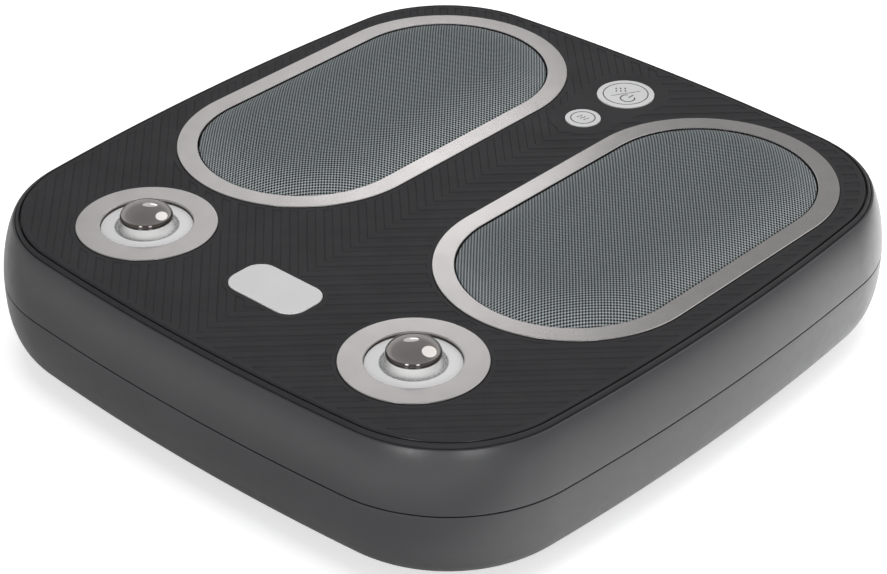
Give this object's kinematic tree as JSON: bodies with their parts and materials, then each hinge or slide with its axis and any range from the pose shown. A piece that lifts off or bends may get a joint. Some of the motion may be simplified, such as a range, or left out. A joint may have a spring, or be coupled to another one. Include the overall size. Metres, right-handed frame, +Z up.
{
  "type": "foot massager",
  "caption": "Flat rounded foot massager with mesh covered kneading beds, domed acupressure studs and round push buttons on its top.",
  "frame": {"origin": "on the table, under the middle of the body", "axes": "+X to the user's right, +Y away from the user, +Z up"},
  "size_m": [0.3702, 0.3876, 0.0928],
  "materials": {
    "housing": "satin dark grey moulded plastic",
    "rim": "dark soft plastic bead",
    "panel": "near-black plastic with shallow chevron grooves",
    "silver_trim": "satin silver",
    "mesh": "grey spacer mesh with round holes over padding",
    "white_plastic": "smooth white plastic",
    "stud_chrome": "polished",
    "button": "light grey plastic",
    "foot_rubber": "black rubber",
    "screw_steel": "plated steel",
    "black_plastic": "black moulded plastic",
    "lead": "black insulation",
    "board": "green circuit board",
    "film": "amber heating film",
    "drive_frame": "black moulded plastic",
    "nylon": "natural nylon",
    "motor_steel": "plated steel can",
    "gear_steel": "ground steel",
    "head_rubber": "dark red rubber"
  },
  "bodies": {
    "body": {"lower_housing": "housing", "upper_housing": "housing", "top_rim": "rim", "top_panel": "panel", "badge_plate": "button", "dc_socket": "black_plastic", "control_board": "board", "power_switch": "black_plastic", "heat_switch": "black_plastic", "wire_harness": "lead", "rubber_foot_1": "foot_rubber", "housing_screw_1": "screw_steel", "rubber_foot_2": "foot_rubber", "housing_screw_2": "screw_steel", "rubber_foot_3": "foot_rubber", "housing_screw_3": "screw_steel", "rubber_foot_4": "foot_rubber", "housing_screw_4": "screw_steel", "left_window_trim": "silver_trim", "left_mesh_cover": "mesh", "left_heater_film": "film", "left_drive_frame": "drive_frame", "left_gearbox": "nylon", "left_motor": "motor_steel", "left_front_axle": "gear_steel", "left_rear_axle": "gear_steel", "left_stud_trim": "silver_trim", "left_stud_dish": "white_plastic", "left_stud_cap": "stud_chrome", "right_window_trim": "silver_trim", "right_mesh_cover": "mesh", "right_heater_film": "film", "right_drive_frame": "drive_frame", "right_gearbox": "nylon", "right_motor": "motor_steel", "right_front_axle": "gear_steel", "right_rear_axle": "gear_steel", "right_stud_trim": "silver_trim", "right_stud_dish": "white_plastic", "right_stud_cap": "stud_chrome"},
    "power_button": {"power_button": "button"},
    "heat_button": {"heat_button": "button"},
    "left_front_kneader": {"left_front_kneading_disc": "nylon", "left_front_head_1": "head_rubber", "left_front_head_2": "head_rubber", "left_front_head_3": "head_rubber"},
    "left_rear_kneader": {"left_rear_kneading_disc": "nylon", "left_rear_head_1": "head_rubber", "left_rear_head_2": "head_rubber", "left_rear_head_3": "head_rubber"},
    "left_pinion": {"left_drive_pinion": "gear_steel"},
    "right_front_kneader": {"right_front_kneading_disc": "nylon", "right_front_head_1": "head_rubber", "right_front_head_2": "head_rubber", "right_front_head_3": "head_rubber"},
    "right_rear_kneader": {"right_rear_kneading_disc": "nylon", "right_rear_head_1": "head_rubber", "right_rear_head_2": "head_rubber", "right_rear_head_3": "head_rubber"},
    "right_pinion": {"right_drive_pinion": "gear_steel"}
  },
  "joints": [
    {"name": "power_button_press", "type": "slide", "parent": "body", "child": "power_button", "axis": [0, 0, -1], "range_m": [0, 0.0006], "stiffness_N_per_m": 3000, "springref_m": -0.0002},
    {"name": "heat_button_press", "type": "slide", "parent": "body", "child": "heat_button", "axis": [0, 0, -1], "range_m": [0, 0.0006], "stiffness_N_per_m": 3000, "springref_m": -0.0002},
    {"name": "left_front_kneader_spin", "type": "hinge", "parent": "body", "child": "left_front_kneader", "pos_m": [-0.092, -0.0104, 0.0455], "axis": [0, 0, 1], "continuous": true},
    {"name": "left_rear_kneader_spin", "type": "hinge", "parent": "body", "child": "left_rear_kneader", "pos_m": [-0.092, 0.0996, 0.0455], "axis": [0, 0, 1], "continuous": true},
    {"name": "left_pinion_spin", "type": "hinge", "parent": "body", "child": "left_pinion", "pos_m": [-0.092, 0.0446, 0.0455], "axis": [0, 0, 1], "continuous": true},
    {"name": "right_front_kneader_spin", "type": "hinge", "parent": "body", "child": "right_front_kneader", "pos_m": [0.092, -0.0104, 0.0455], "axis": [0, 0, 1], "continuous": true},
    {"name": "right_rear_kneader_spin", "type": "hinge", "parent": "body", "child": "right_rear_kneader", "pos_m": [0.092, 0.0996, 0.0455], "axis": [0, 0, 1], "continuous": true},
    {"name": "right_pinion_spin", "type": "hinge", "parent": "body", "child": "right_pinion", "pos_m": [0.092, 0.0446, 0.0455], "axis": [0, 0, 1], "continuous": true}
  ],
  "couplings": [
    {"joint": "left_rear_kneader_spin", "follows": "left_front_kneader_spin", "ratio": 1},
    {"joint": "left_pinion_spin", "follows": "left_front_kneader_spin", "ratio": -3},
    {"joint": "right_rear_kneader_spin", "follows": "right_front_kneader_spin", "ratio": 1},
    {"joint": "right_pinion_spin", "follows": "right_front_kneader_spin", "ratio": -3}
  ]
}
